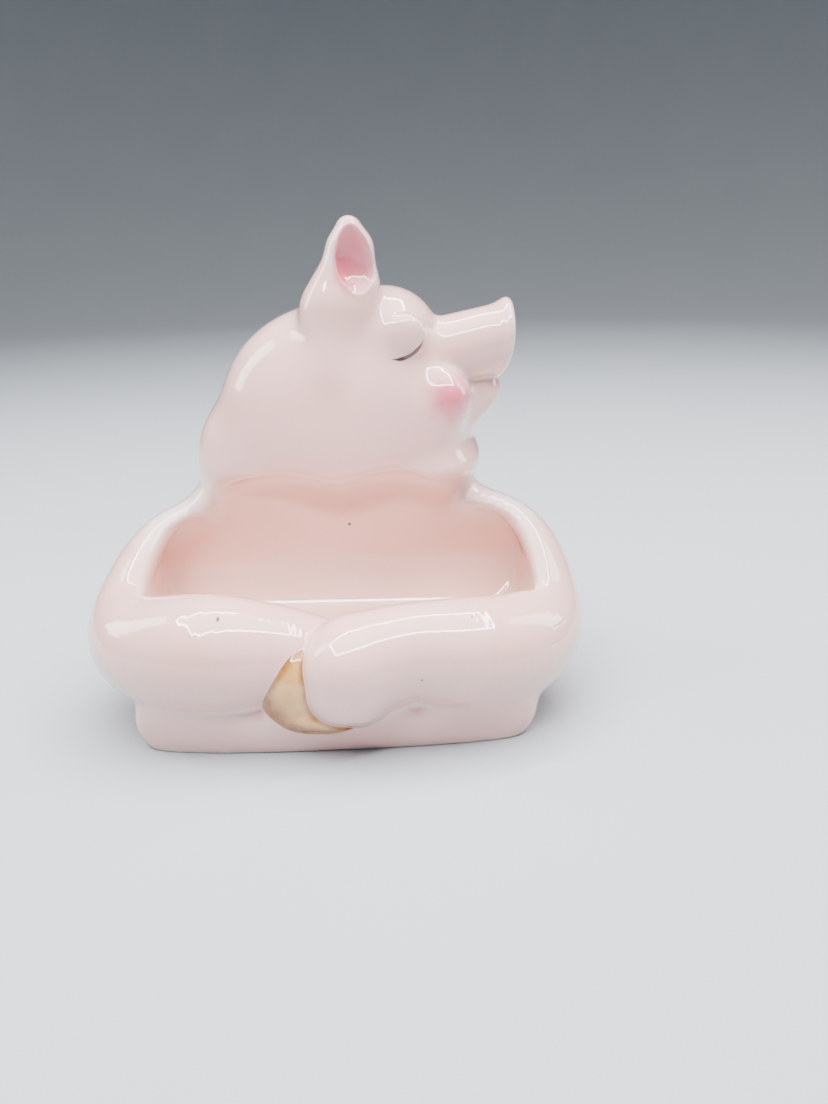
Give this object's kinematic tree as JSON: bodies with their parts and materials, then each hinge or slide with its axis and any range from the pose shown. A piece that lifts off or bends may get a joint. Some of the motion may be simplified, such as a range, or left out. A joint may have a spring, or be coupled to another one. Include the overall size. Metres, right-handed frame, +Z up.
{
  "type": "pig figure holder",
  "caption": "Glazed earthenware pig with closed eyes and raised snout, its folded arms hugging an open pocket on a low foot.",
  "frame": {"origin": "middle of the outline in plan, on the flat underside of the foot", "axes": "+Z up, -Y the side with the folded arms and the pocket's mouth, +X the way the snout points"},
  "size_m": [0.1409, 0.09, 0.1356],
  "materials": {
    "pink_glaze": "glossy pale pink glaze with airbrushed pink cheeks and ears",
    "tan_glaze": "hand-painted tan under a clear gloss glaze"
  },
  "bodies": {
    "root": {"base_plinth": "pink_glaze", "pocket_liner": "pink_glaze", "torso_shell": "pink_glaze", "arm_left": "pink_glaze", "arm_right": "pink_glaze", "head_shell": "pink_glaze", "snout": "pink_glaze", "lower_jaw": "pink_glaze", "ear_right": "pink_glaze", "ear_left": "pink_glaze", "eyelid_right": "pink_glaze", "eyelid_left": "pink_glaze", "hoof_left": "tan_glaze"}
  },
  "joints": []
}
